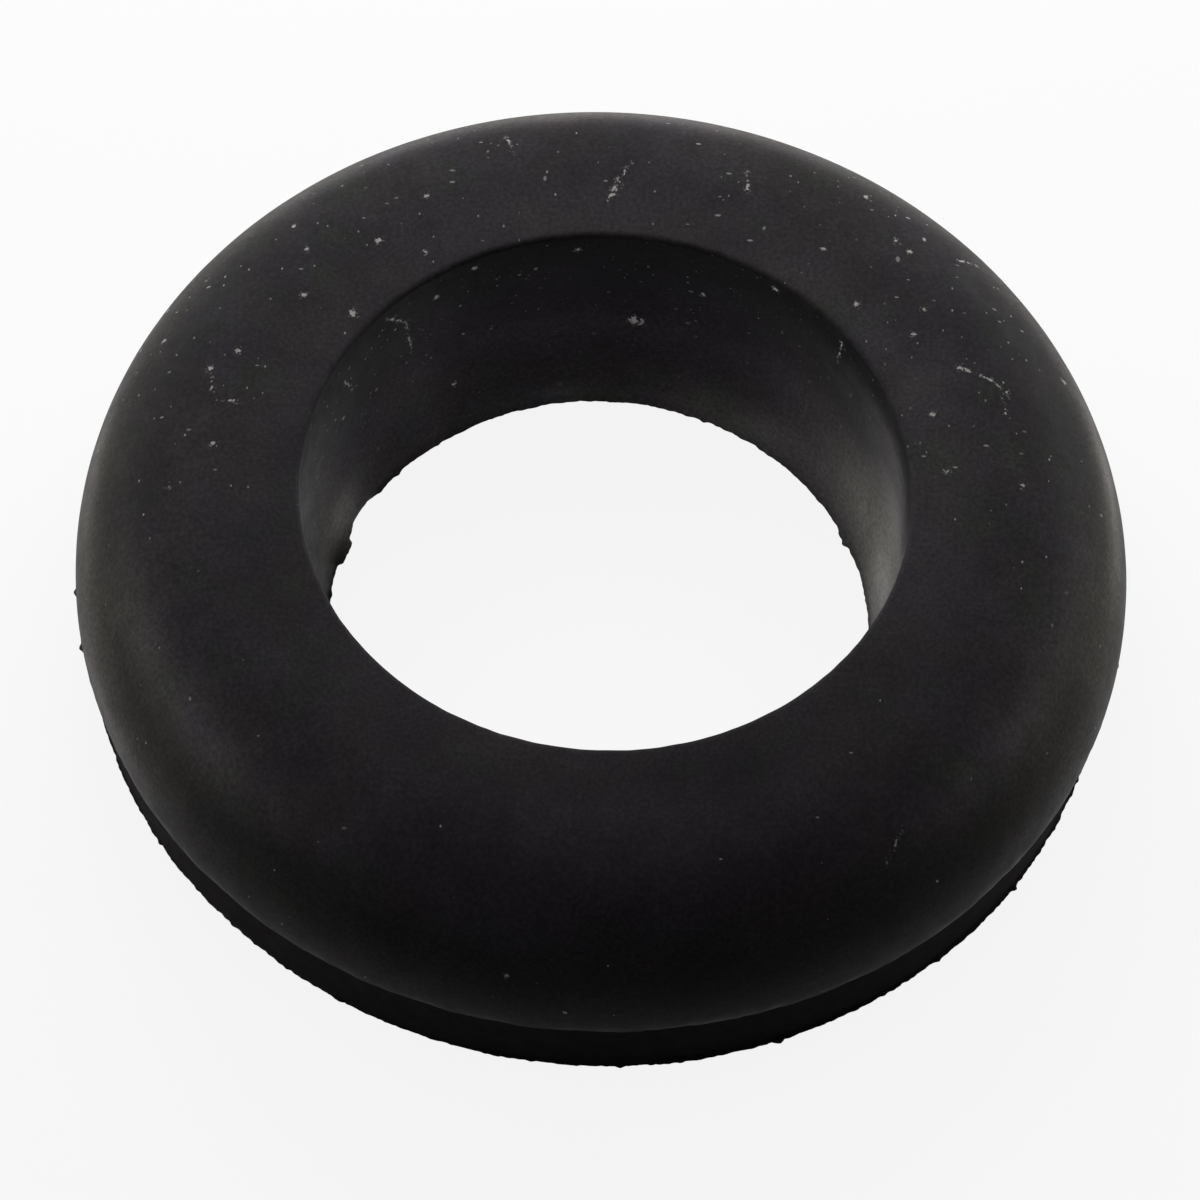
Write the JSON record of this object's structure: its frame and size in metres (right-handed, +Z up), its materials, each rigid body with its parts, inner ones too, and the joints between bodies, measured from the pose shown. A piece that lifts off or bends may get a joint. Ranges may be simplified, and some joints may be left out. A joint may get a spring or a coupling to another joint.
{
  "type": "rubber isolator",
  "caption": "Thick moulded rubber isolator ring with a rounded outer shoulder, an overhanging edge and a through bore that narrows at the base.",
  "frame": {"origin": "centre of the flat base", "axes": "+Z up along the bore axis, from the base to the flat top; the ring is round, so X and Y are free"},
  "size_m": [0.05, 0.05, 0.0122],
  "materials": {
    "black_rubber": "matte black moulded rubber with fine pale dust"
  },
  "bodies": {
    "root": {"isolator_ring": "black_rubber"}
  },
  "joints": []
}
